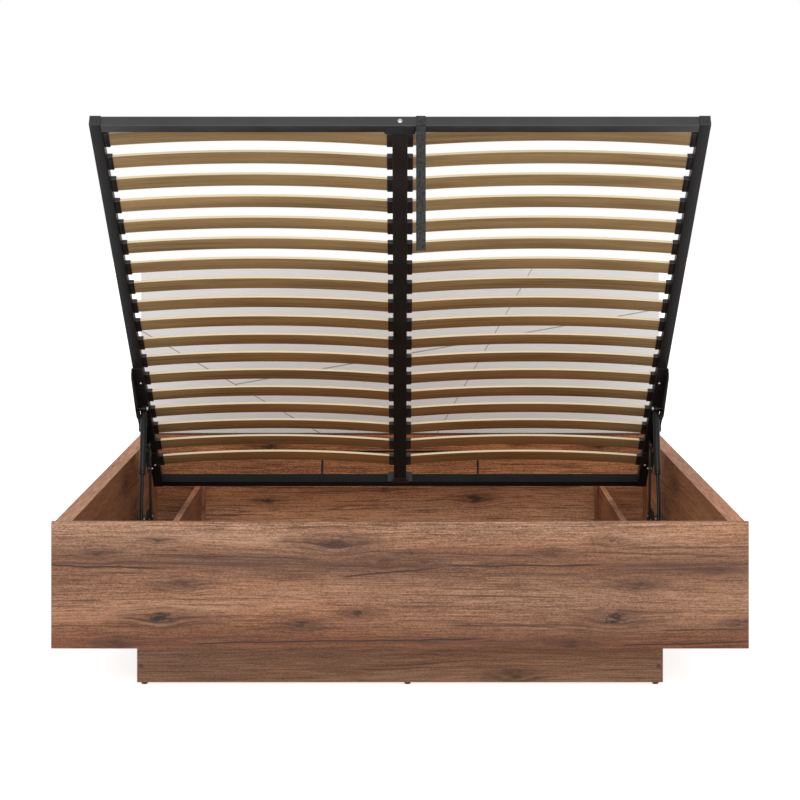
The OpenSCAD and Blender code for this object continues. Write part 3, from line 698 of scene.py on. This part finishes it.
FRONT = {
    "knots": (
        (-0.624, 0.048, 0.009, 0.7, 0.7), (-0.783, 0.085, 0.012, 0.35, 0.8),
        (-0.557, 0.159, 0.013, 0.4, 0.85), (-0.617, 0.247, 0.02, 1.0, 0.8),
        (-0.256, 0.265, 0.012, 0.7, 0.85), (-0.732, 0.315, 0.011, 0.4, 0.8),
        (-0.167, 0.053, 0.02, 0.5, 0.95), (-0.11, 0.236, 0.011, 0.7, 0.75),
        (-0.043, 0.103, 0.011, 0.35, 0.6), (0.03, 0.083, 0.008, 0.35, 0.6),
        (0.057, 0.106, 0.01, 0.45, 0.7), (0.225, 0.11, 0.007, 0.2, 0.5),
        (0.389, 0.085, 0.012, 0.4, 0.7), (0.548, 0.05, 0.01, 0.6, 0.65),
        (0.615, 0.16, 0.013, 0.4, 0.85), (0.555, 0.248, 0.02, 1.0, 0.8),
        (0.443, 0.317, 0.011, 0.55, 0.8), (0.877, 0.264, 0.011, 0.35, 0.8),
        (0.825, 0.124, 0.01, 0.4, 0.6),
    ),
    "cracks": (
        (-0.93, -0.6, 0.11, 0.121, 1.0), (-0.93, -0.8, 0.087, 0.086, 0.6),
        (-0.68, -0.2, 0.083, 0.097, 0.6), (-0.93, -0.62, 0.269, 0.268, 0.6),
        (-0.35, -0.12, 0.272, 0.276, 0.5), (-0.54, 0.24, 0.313, 0.302, 1.0),
        (-0.16, 0.13, 0.143, 0.116, 0.95), (0.11, 0.52, 0.114, 0.112, 0.95),
        (-0.1, 0.37, 0.077, 0.089, 0.6), (0.13, 0.44, 0.267, 0.272, 0.7),
        (0.44, 0.86, 0.078, 0.088, 0.6), (0.56, 0.93, 0.318, 0.31, 1.0),
        (0.66, 0.93, 0.279, 0.278, 0.7),
    ),
    # painted light and shade on the foot board, by depth below its top: lightest at the top,
    # darkest at the bottom
    "painted_light_by_height": (
        (0.335, (0.7, 0.5, 0.38)), (0.304, (0.8, 0.61, 0.48)),
        (0.279, (0.81, 0.72, 0.66)), (0.24, (1.18, 1.14, 1.11)),
        (0.212, (1.26, 1.29, 1.31)), (0.18, (1.22, 1.22, 1.22)),
        (0.155, (1.04, 1.00, 0.98)), (0.114, (0.8, 0.76, 0.73)),
        (0.073, (0.98, 0.97, 0.97)), (0.031, (1.47, 1.56, 1.62)),
        (0.0, (1.63, 1.73, 1.8)),
    ),
    "streaks": (
        (-0.56, -0.06, 0.107, 0.019, 1.0), (-0.9, -0.62, 0.112, 0.012, 0.5),
        (0.52, 0.9, 0.11, 0.019, 1.0), (-0.15, 0.45, 0.078, 0.014, 0.45),
        (-0.9, 0.9, 0.31, 0.013, 0.6),
    ),
}
REAR = {
    "knots": (
        (-0.447, 0.042, 0.018, 0.95, 0.9), (0.68, 0.043, 0.012, 0.9, 0.8),
        (0.4, 0.032, 0.008, 0.5, 0.7), (-0.455, 0.23, 0.012, 0.8, 0.8),
        (0.26, 0.222, 0.017, 0.9, 0.8), (-0.05, 0.19, 0.01, 0.3, 0.5),
        (-0.71, 0.18, 0.01, 0.3, 0.5),
    ),
    # painted light and shade on the rear board, by depth below its top
    "painted_light_by_height": (
        (0.34, (1.12, 1.27, 1.42)), (0.268, (1.17, 1.28, 1.41)),
        (0.24, (1.09, 1.08, 1.1)), (0.2, (1.03, 0.97, 0.9)),
        (0.15, (1.38, 1.36, 1.28)), (0.1, (1.52, 1.52, 1.46)),
        (0.05, (1.25, 1.15, 1.0)), (0.0, (1.1, 0.82, 0.58)),
    ),
    "cracks": (
        (-0.45, 0.05, 0.183, 0.19, 0.6), (0.1, 0.6, 0.178, 0.186, 0.5),
        (-0.6, -0.2, 0.2, 0.205, 0.4),
    ),
    "streaks": ((-0.5, 0.62, 0.19, 0.014, 0.6),),
}
SIDE = {
    "knots": (
        (-0.7, 0.1, 0.03, 0.3, 0.6), (-0.3, 0.2, 0.034, 0.4, 0.7),
        (0.15, 0.06, 0.02, 0.6, 0.8), (0.42, 0.16, 0.026, 0.5, 0.7),
        (0.75, 0.12, 0.02, 0.3, 0.5),
    ),
    "cracks": ((-0.9, 0.2, 0.18, 0.17, 0.6), (0.1, 0.9, 0.09, 0.11, 0.6)),
    "streaks": ((-0.5, 0.5, 0.12, 0.03, 0.3),),
}
PLINTH = {
    "knots": (
        (-0.2, 0.06, 0.01, 0.1, 0.3), (0.309, 0.112, 0.015, 0.6, 0.8),
        (0.12, 0.05, 0.008, 0.1, 0.3),
    ),
}
# heights over the floor; painted light and shade on the plinth: darker at the bottom, lighter at
# the top
PLINTH_PAINTED_LIGHT = (
    (0.0, (0.8, 0.8, 0.82)), (0.035, (0.93, 0.96, 1.0)),
    (0.06, (1.12, 1.18, 1.26)), (0.1, (1.18, 1.25, 1.37)),
)
# a seed and a painted light gain for each side wall: painted light on both, more on the right wall
# than the left
WALLS = {"left": (6.4, (1.2, 0.97, 0.72)), "right": (13.9, (1.6, 1.38, 1.1))}
# gains of the painted light on the side walls' top faces
WALL_RIM_PAINTED_LIGHT = (1.98, 1.77, 1.56)


# ---- operators


class BED_OT_stage(bpy.types.Operator):
    """Pale floor, even surroundings, one soft box and the camera"""

    bl_idname = "bed.stage"
    bl_label = "Floor, light and camera"

    def execute(self, context):
        scene, settings = context.scene, context.scene.bed_stage
        (_, front, _), _ = CAD_BOX
        mesh = bpy.data.meshes.new("floor")
        f = Finish("pale floor")
        seen = f.seen()
        dust = f.band(f.noise(f.place(), 3.0, 4), 0.3, 0.7)
        lit = f.mix(dust, (0.72, 0.72, 0.72, 1.0), (0.76, 0.76, 0.76, 1.0))
        pale = f.surface(
            Base_Color=f.mix(seen, lit, (0.97, 0.97, 0.97, 1.0)),
            Roughness=0.8,
            Specular_IOR_Level=0.0,
            Emission_Color=WHITE,
            Emission_Strength=f.product(seen, 0.8),
        )
        reach = 30.0
        corners = [(-reach, -reach, 0), (reach, -reach, 0), (reach, reach, 0), (-reach, reach, 0)]
        mesh.from_pydata(corners, [], [(0, 1, 2, 3)])
        mesh.materials.append(pale)
        floor = bpy.data.objects.new("floor", mesh)
        scene.collection.objects.link(floor)

        sky = Finish("studio", bpy.data.worlds.new("studio"))
        bright = sky.band(sky.seen(), 0.0, 1.0, settings.sky, 1.0, smooth=False)
        background = sky.node("Background", {0: WHITE, 1: bright})
        sky.node("OutputWorld", {0: background.outputs[0]})
        scene.world = sky.owner

        soft = bpy.data.lights.new("soft box", "AREA")
        soft.shape, soft.size, soft.size_y, soft.energy = "RECTANGLE", 12.0, 6.0, settings.lamp
        lamp = bpy.data.objects.new("soft box", soft)
        lamp.location = (0.0, front - 12.0, 5.6)
        lamp.rotation_euler = (math.radians(67), 0.0, 0.0)
        scene.collection.objects.link(lamp)

        lens = bpy.data.cameras.new("camera")
        lens.sensor_width, lens.lens, lens.shift_y = 36.0, settings.lens, settings.shift
        camera = bpy.data.objects.new("camera", lens)
        camera.location = (0.0, front - settings.camera_distance, settings.camera_height)
        camera.rotation_euler = (math.pi / 2, 0.0, 0.0)
        scene.collection.objects.link(camera)
        scene.camera = camera
        scene.view_settings.view_transform = "Standard"
        return {"FINISHED"}


class BED_OT_boards(bpy.types.Operator):
    """Knotty laminate on the box, the plinth and the storage floor"""

    bl_idname = "bed.boards"
    bl_label = "Boards"

    def execute(self, context):
        c = context.scene.bed_colours
        colours = (c.board_light, c.board_middle, c.board_deep)

        def face(nodes, name, along, across, seed, **settings):
            dress(board_finish(name, along, across, seed, colours, **settings), *nodes)

        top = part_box("front_board")[1].z
        # painted shade on the foot board's top face, where a highlight would fall
        edge = (top, (0.75, 0.68, 0.62, 1.0))
        front = marks(top, FRONT)
        face(["front_board"], "foot board laminate", "X", "Z", 4.3, **front, top_edge=edge)
        plinth = {**marks(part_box("plinth_front")[1].z, PLINTH), "painted_light_by_height": PLINTH_PAINTED_LIGHT}
        # painted light on the plinth
        plinth.update(shade=(1.2, 1.22, 1.2), bold=0.7)
        face(["plinth_front", "plinth_rear"], "plinth laminate", "X", "Z", 9.1, **plinth)
        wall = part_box("rear_board")[1].z
        # a dark painted shadow line along the top of the rear board
        edge = (wall - 0.0015, (0.1, 0.05, 0.04, 1.0))
        # painted light on the rear board
        rear = {**marks(wall, REAR), "shade": (1.42, 1.26, 1.02), "top_edge": edge}
        face(["rear_board"], "rear wall laminate", "X", "Z", 2.7, **rear)
        # painted light on the corner battens, warmer than the wood's own colour
        face(["corner_battens"], "batten laminate", "Z", "X", 5.2, shade=(1.1, 0.95, 0.8))
        lengthwise = marks(wall, SIDE)
        for side, (seed, shade) in WALLS.items():
            # painted light on the side walls' top faces
            rim = (*(gain / share for gain, share in zip(WALL_RIM_PAINTED_LIGHT, shade)), 1.0)
            settings = {**lengthwise, "shade": shade, "top_edge": (wall, rim), "bold": 0.75}
            face([f"side_wall_{side}"], f"side wall laminate {side}", "Y", "Z", seed, **settings)
            # painted light on the inner boards' top faces, and painted shade, darker and redder,
            # over the rest of them
            edge = (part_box(f"inner_board_{side}")[1].z, (1.9, 2.1, 2.3, 1.0))
            settings = {**lengthwise, "shade": (0.9, 0.72, 0.56), "top_edge": edge}
            name = f"inner wall laminate {side}"
            face([f"inner_board_{side}"], name, "Y", "Z", seed + 3.0, **settings)
        floors = ["floor_left", "floor_right", "side_floor_left", "side_floor_right"]
        face([*floors, "middle_board"], "floor laminate", "Y", "X", 21.3)
        return {"FINISHED"}


class BED_OT_headboard(bpy.types.Operator):
    """Satin paint on the grooved headboard"""

    bl_idname = "bed.headboard"
    bl_label = "Headboard"

    def execute(self, context):
        c = context.scene.bed_colours
        dress(painted_panel(c.panel, c.groove), "headboard")
        return {"FINISHED"}


class BED_OT_tubes(bpy.types.Operator):
    """Round-cornered steel tubes with their plates and plastic end caps"""

    bl_idname = "bed.tubes"
    bl_label = "Tubes"

    def execute(self, context):
        c, sizes = context.scene.bed_colours, context.scene.bed_sizes

        def coat(name, share, rough, gloss):
            return coated_steel(name, scaled(c.steel, share), rough, "place", gloss)

        # lit and shaded copies of one powder coat: painted light on the foot tube, painted shade on
        # the side tubes and the head tube, and painted warm bounce light on the beam
        painted_light_coat = coat("powder coat with painted light", 1.3, 0.45, 0.6)
        painted_shade_coat = coat("powder coat with painted shade on side tubes", 0.65, 0.5, 0.22)
        tubes = (
            ("side_tube_left", 1, painted_shade_coat),
            ("side_tube_right", 1, painted_shade_coat),
            ("foot_tube", 0, painted_light_coat),
            ("head_tube", 0, coat("powder coat with painted shade on head tube", 0.75, 0.6, 0.1)),
            ("centre_beam", 1, coat("powder coat with painted bounce light on beam", (1.35, 1.1, 0.9), 0.55, 0.15)),
        )
        for node, axis, finish in tubes:
            bar = bar_between(*flat_box(node), axis, sizes.tube_radius)
            piece(f"{node}_skin", node, [bar], finish)
        caps, rounding = [], 0.0011
        proud = flat_box("tube_caps")[0][1]
        low, high = flat_box("side_tube_right")
        for side in (-1, 1):
            x = sorted((side * low[0], side * high[0]))
            for start, stop in ((proud, 0.0), (high[1], high[1] - proud)):
                corners = (x[0], start, low[2]), (x[1], stop, high[2])
                caps.append(bar_between(*corners, 1, sizes.tube_radius, rounding))
        plastic = moulded_plastic("cap plastic", c.plastic, 0.4)
        piece("tube_cap_skins", "tube_caps", caps, plastic)
        dress(coated_steel("powder coat on plates", c.steel, 0.46), "saddle_plates")
        return {"FINISHED"}


class BED_OT_slats(bpy.types.Operator):
    """Sprung birch slats, arched across each half of the base"""

    bl_idname = "bed.slats"
    bl_label = "Slats"

    def execute(self, context):
        c, sizes = context.scene.bed_colours, context.scene.bed_sizes
        finish = birch_finish(c.birch, c.birch_edge)
        steps, corner_points = 29, 4
        grain_step, left_grain = 0.61, 3.0
        for side in SIDES:
            node = f"slats_{side}"
            low, high = flat_box(node)
            rows = slat_rows(node)
            middle, half = (low[0] + high[0]) / 2, (high[0] - low[0]) / 2
            rise = high[2] - low[2] - sizes.slat_thickness
            radius = (half**2 + rise**2) / (2 * rise)
            slat = rows[0, 1] - rows[0, 0]
            outline = round_outline(slat, sizes.slat_thickness, sizes.slat_radius, corner_points)
            turn = np.linspace(-1, 1, steps) * math.asin(half / radius)
            across = middle + radius * np.sin(turn)
            height = low[2] + rise - radius + radius * np.cos(turn)
            up = np.column_stack([np.sin(turn), np.zeros(steps), np.cos(turn)])
            level = np.tile([0.0, 1.0, 0.0], (steps, 1))
            parts = []
            for number, (near, far) in enumerate(rows):
                path = np.column_stack([across, np.full(steps, (near + far) / 2), height])
                path = path + up * sizes.slat_thickness / 2
                flat, faces, place = carried(path, level, up, outline)
                other_grain = number * grain_step + (left_grain if side == "left" else 0.0)
                parts.append(laid(flat, faces, place + [other_grain, 0.0, 0.0]))
            piece(f"{node}_bent", node, parts, finish)
        return {"FINISHED"}


class BED_OT_holders(bpy.types.Operator):
    """Moulded holders with a pocket for each slat end"""

    bl_idname = "bed.holders"
    bl_label = "Slat holders"

    def execute(self, context):
        c, sizes = context.scene.bed_colours, context.scene.bed_sizes
        finish = moulded_plastic("holder plastic", c.plastic, 0.38)
        pairs = slat_rows("slats_right")
        for node, on_beam in (("side_holders", False), ("centre_holders", True)):
            low, high = flat_box(node)
            if on_beam:
                wall, outward = flat_box("centre_beam")[1][0], 1
                reach = high[0] - wall
            else:
                wall, outward = flat_box("foot_tube")[1][0], -1
                reach = wall - np.abs(flat_on_base(node)[:, 0]).min()
            tall, middle = high[2] - low[2], (low[2] + high[2]) / 2
            wider = pairs[0, 0] - low[1]
            corner, thick = sizes.holder_radius, sizes.slat_thickness
            parts = []
            for slat_near, slat_far in pairs:
                near, far = slat_near - wider, slat_far + wider
                slat = slat_far - slat_near
                outer = round_outline(far - near, tall, corner)
                lip = round_outline(far - near - 0.002, tall - 0.002, corner - 0.001)
                mouth = round_outline(slat + 0.0014, thick + 0.0018, 0.0012)
                bottom = round_outline(slat + 0.0006, thick + 0.001, 0.0012)
                stops = [(0.0, outer), (reach - 0.0012, outer), (reach, lip)]
                stops += [(reach, mouth), (reach - 0.007, bottom)]
                centre = [(near + far) / 2, middle]
                for side in (-1, 1):
                    rings = [
                        np.insert(ring + centre, 0, side * (wall + outward * x), axis=1)
                        for x, ring in stops
                    ]
                    parts.append(laid(*skin(np.stack(rings))))
            piece(f"{node}_moulded", node, parts, finish, angle=50.0)
        return {"FINISHED"}


class BED_OT_mattress_stop(bpy.types.Operator):
    """Bent round rod at the head end that keeps the mattress in place"""

    bl_idname = "bed.mattress_stop"
    bl_label = "Mattress stop"

    def execute(self, context):
        c, sizes = context.scene.bed_colours, context.scene.bed_sizes
        low, high = flat_box("mattress_stop")
        rod = (high[1] - low[1]) / 2
        leg, top, bend = high[0] - rod, high[2] - rod, sizes.stop_bend
        quarter = np.linspace(0, np.pi / 2, 9)
        across, height = leg - bend + bend * np.cos(quarter), top - bend + bend * np.sin(quarter)
        right = np.column_stack([across, height])
        half_path = np.vstack([[leg, low[2]], right])
        plane = np.vstack([half_path, half_path[::-1] * [-1, 1]])
        heading = np.gradient(plane, axis=0)
        heading /= np.linalg.norm(heading, axis=1)[:, None]
        middle = np.full(len(plane), (low[1] + high[1]) / 2)
        path = np.column_stack([plane[:, 0], middle, plane[:, 1]])
        side = np.tile([0.0, 1.0, 0.0], (len(plane), 1))
        up = np.column_stack([-heading[:, 1], np.zeros(len(plane)), heading[:, 0]])
        angle = np.linspace(0, 2 * np.pi, 16, endpoint=False)
        outline = rod * np.column_stack([np.cos(angle), np.sin(angle)])
        bent = laid(*carried(path, side, up, outline))
        # painted shade, browner and darker than the steel, on the rod
        painted_shade_steel = scaled(c.steel, (0.85, 0.65, 0.5))
        finish = coated_steel("powder coat with painted shade on rod", painted_shade_steel, 0.55, "place", 0.15)
        piece("mattress_stop_rod", "mattress_stop", [bent], finish)
        return {"FINISHED"}


def spring_eye(middle, radius):
    """Round end of a gas spring, turned about X, with broken edges."""
    width, edge = 0.012, 0.0008
    profile = [(0, radius - edge), (edge, radius), (width - edge, radius), (width, radius - edge)]
    return turned(middle - [width / 2, 0, 0], (1, 0, 0), profile)


class BED_OT_lift(bpy.types.Operator):
    """Brackets, links and gas springs of the lift"""

    bl_idname = "bed.lift"
    bl_label = "Lift"

    def execute(self, context):
        c = context.scene.bed_colours
        stamped = coated_steel("powder coat on brackets", c.steel, 0.4)
        for side in SIDES:
            for part in ("base_bracket", "frame_bracket", "rear_link", "front_link"):
                dress(stamped, f"{part}_{side}")
        paint = coated_steel("spring cylinder paint", tone(22, 23, 24), 0.38, "place", 0.2)
        dark_rod = coated_steel("nitrided rod", tone(14, 14, 15), 0.3, "place", 0.2)
        for side in SIDES:
            outer, inner = f"gas_cylinder_{side}", f"gas_rod_{side}"
            cylinder, rod = node_points(outer), node_points(inner)
            across = cylinder[:, 0]
            down = -np.array(JOINTS[f"rod_slide_{side}"]["axis"], float)
            start = np.array(JOINTS[f"spring_turn_{side}"]["pos_m"], float)
            start[0] = (across.min() + across.max()) / 2
            end, tip = ((cylinder - start) @ down).max(), ((rod - start) @ down).max()
            wide = (across.max() - across.min()) / 2
            neck, slim, socket, groove = 0.0052, 0.0045, 0.0058, wide - 0.0007
            tube = [
                (0.0105, neck), (0.0118, 0.0060), (0.0145, 0.0060), (0.0150, wide - 0.0022),
                (0.0162, wide - 0.0006), (0.0180, wide), (end - 0.0105, wide),
                (end - 0.0098, groove), (end - 0.0088, groove), (end - 0.0081, wide),
                (end - 0.0014, wide), (end, wide - 0.0016), (end, neck),
            ]
            parts = [turned(start, down, tube), spring_eye(start, wide)]
            piece(f"{outer}_turned", outer, parts, paint, outer)
            stem = [(end - 0.02, slim), (tip - 0.0235, slim)]
            stem += [(tip - 0.0228, socket), (tip - 0.0118, socket)]
            foot = start + down * (tip - wide)
            parts = [turned(start, down, stem), spring_eye(foot, wide)]
            piece(f"{inner}_turned", inner, parts, dark_rod, inner)
        return {"FINISHED"}


class BED_OT_fixings(bpy.types.Operator):
    """Dome bolts, pins, screws, screw caps and glides"""

    bl_idname = "bed.fixings"
    bl_label = "Fixings"

    def execute(self, context):
        c = context.scene.bed_colours
        spring_top = JOINTS["spring_turn_left"]["pos_m"]
        pins = node_points("frame_pins")
        there = np.hypot(pins[:, 1] - spring_top[1], pins[:, 2] - spring_top[2]) < 0.02
        head = np.abs(pins[there, 0]).min() + 0.0045
        dress(plated_steel("frame pins", [(*spring_top[1:], head)]), "frame_pins")
        dress(plated_steel("base pins", []), "base_pins")
        dress(plated_steel("zinc screws"), "base_screws", "frame_screws")
        low, high = flat_box("foot_tube")
        middle = (low[2] + high[2]) / 2
        head_low = flat_box("head_tube")[0][1]
        rise = np.linspace(0, np.pi / 2, 9)
        dome = [(-0.0002, 0.0064), (0.0006, 0.0064), (0.0008, 0.0060)]
        dome += [(0.0008 + 0.0028 * math.sin(a), 0.0019 + 0.0041 * math.cos(a)) for a in rise]
        dome += [(0.0025, 0.0017), (0.0025, 0.0004)]
        outward = on_base(0.0, 1.0, 0.0) - on_base(0.0, 0.0, 0.0)
        parts = [
            turned(on_base(0.0, high[1], middle), outward, dome),
            turned(on_base(0.0, head_low, middle), -outward, dome),
        ]
        piece("dome_bolts", "beam_bolts", parts, plated_steel("dome bolts"))
        dress(moulded_plastic("screw cap plastic", c.cap, 0.5), "screw_caps")
        dress(moulded_plastic("glide plastic", c.plastic, 0.5), "glides")
        return {"FINISHED"}


def tape_along(path, ahead, tape, looped=False):
    """Webbing carried along a path square to X, with its width along X."""
    ahead = ahead / np.linalg.norm(ahead, axis=1)[:, None]
    side = np.tile([1.0, 0.0, 0.0], (len(path), 1))
    return carried(path, side, np.cross(ahead, side), tape, looped)


class BED_OT_strap(bpy.types.Operator):
    """Pull strap: a webbing loop round the foot tube and the part that hangs from it"""

    bl_idname = "bed.strap"
    bl_label = "Pull strap"

    def execute(self, context):
        c, sizes = context.scene.bed_colours, context.scene.bed_sizes
        finish = webbing(c.strap)
        thick = sizes.strap_thickness
        low, high = flat_box("strap_loop")
        wide, deep, tall = high - low
        tape = round_outline(wide, thick, thick * 0.45, 4)
        ring = round_outline(deep - thick, tall - thick, 0.0036, 6)
        middle = (low + high) / 2
        path = np.column_stack([np.full(len(ring), middle[0]), ring + middle[1:]])
        ahead = np.roll(path, -1, 0) - np.roll(path, 1, 0)
        loop = laid(*tape_along(path, ahead, tape, looped=True))
        piece("strap_loop_webbing", "strap_loop", [loop], finish)

        low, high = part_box("pull_strap")
        folded = 0.048
        front, back = low.y + thick / 2, high.y - thick / 2
        fold = (back - front) / 2
        bottom = low.z + fold + thick / 2
        turn = np.linspace(np.pi, 2 * np.pi, 9)
        down = np.column_stack([np.full(30, front), np.linspace(high.z, bottom, 30)])
        round_end = [(front + back) / 2 + fold * np.cos(turn), bottom + fold * np.sin(turn)]
        up_again = np.column_stack([np.full(6, back), np.linspace(bottom, low.z + folded, 6)])
        plane = np.vstack([down, np.column_stack(round_end)[1:-1], up_again])
        path = np.column_stack([np.full(len(plane), (low.x + high.x) / 2), plane])
        hanging = tape_along(path, np.gradient(path, axis=0), tape)
        piece("pull_strap_webbing", "pull_strap", [hanging], finish, "pull_strap")
        return {"FINISHED"}


class BED_PT_dresser(bpy.types.Panel):
    """Lists the bed's pieces in the sidebar"""

    bl_label = "Platform bed"
    bl_idname = "BED_PT_dresser"
    bl_space_type = "VIEW_3D"
    bl_region_type = "UI"
    bl_category = "Bed"

    def draw(self, context):
        for operator in OPERATORS:
            self.layout.operator(operator.bl_idname)
        for group, cls in SETTINGS.items():
            box = self.layout.box()
            for name in cls.__annotations__:
                box.prop(getattr(context.scene, group), name)


SETTINGS = {"bed_colours": BedColours, "bed_sizes": BedSizes, "bed_stage": BedStage}
OPERATORS = (
    BED_OT_stage,
    BED_OT_boards,
    BED_OT_headboard,
    BED_OT_tubes,
    BED_OT_slats,
    BED_OT_holders,
    BED_OT_mattress_stop,
    BED_OT_lift,
    BED_OT_fixings,
    BED_OT_strap,
)


def register():
    for cls in (*SETTINGS.values(), *OPERATORS, BED_PT_dresser):
        bpy.utils.register_class(cls)
    for name, group in SETTINGS.items():
        setattr(bpy.types.Scene, name, bpy.props.PointerProperty(type=group))


def unregister():
    for name in SETTINGS:
        delattr(bpy.types.Scene, name)
    for cls in reversed((*SETTINGS.values(), *OPERATORS, BED_PT_dresser)):
        bpy.utils.unregister_class(cls)


def main():
    """Registers the classes and makes every piece in turn."""
    register()
    bpy.ops.bed.stage()
    bpy.ops.bed.boards()
    bpy.ops.bed.headboard()
    bpy.ops.bed.tubes()
    bpy.ops.bed.slats()
    bpy.ops.bed.holders()
    bpy.ops.bed.mattress_stop()
    bpy.ops.bed.lift()
    bpy.ops.bed.fixings()
    bpy.ops.bed.strap()


if __name__ == "__main__":
    main()
